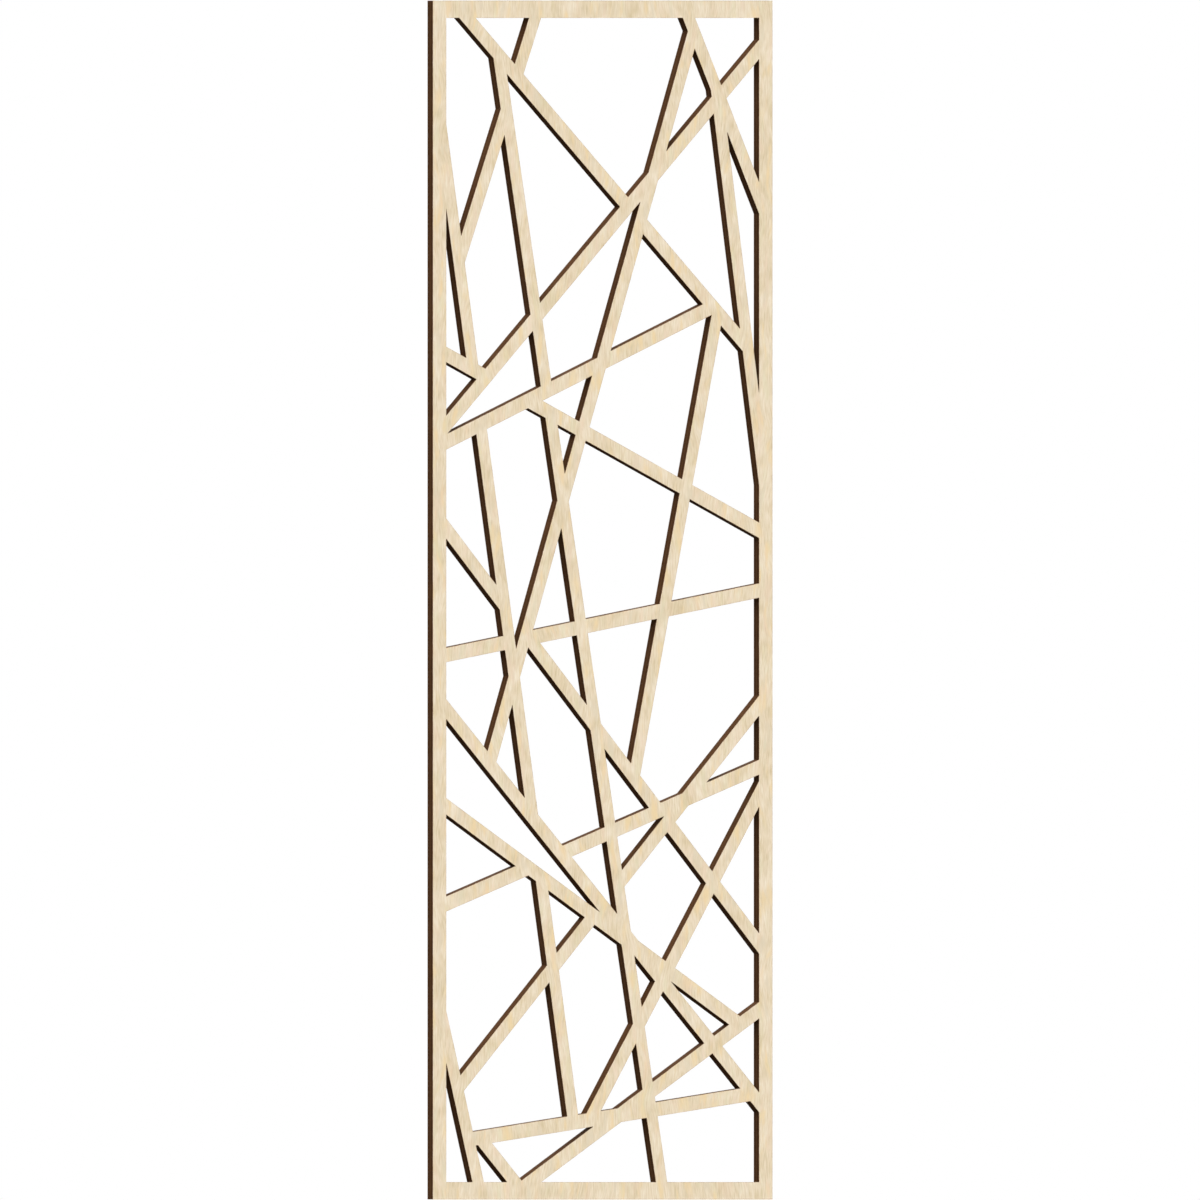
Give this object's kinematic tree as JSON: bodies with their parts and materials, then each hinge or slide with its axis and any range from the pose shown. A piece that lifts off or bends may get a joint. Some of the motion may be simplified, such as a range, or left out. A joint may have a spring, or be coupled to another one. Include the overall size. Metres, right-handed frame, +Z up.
{
  "type": "fretwork panel",
  "caption": "Flat upright plywood sheet cut right through into a slim border and straight bars that cross at many angles, as the infill of a screen or room divider.",
  "frame": {"origin": "middle of the lower edge of the back face", "axes": "+Z up along the panel's height, +Y out of the back face, +X to the right seen from the front"},
  "size_m": [0.33, 0.0063, 0.9],
  "materials": {
    "front_veneer": "pale sanded veneer with fine upright grain and browned cut edges",
    "back_veneer": "pale sanded veneer of a plainer grade with browned cut edges",
    "inner_ply": "browned by the cut, seen only on the walls of the openings and the rim"
  },
  "bodies": {
    "root": {"front_face_ply": "front_veneer", "front_cross_ply": "inner_ply", "core_ply": "inner_ply", "back_cross_ply": "inner_ply", "back_face_ply": "back_veneer"}
  },
  "joints": []
}
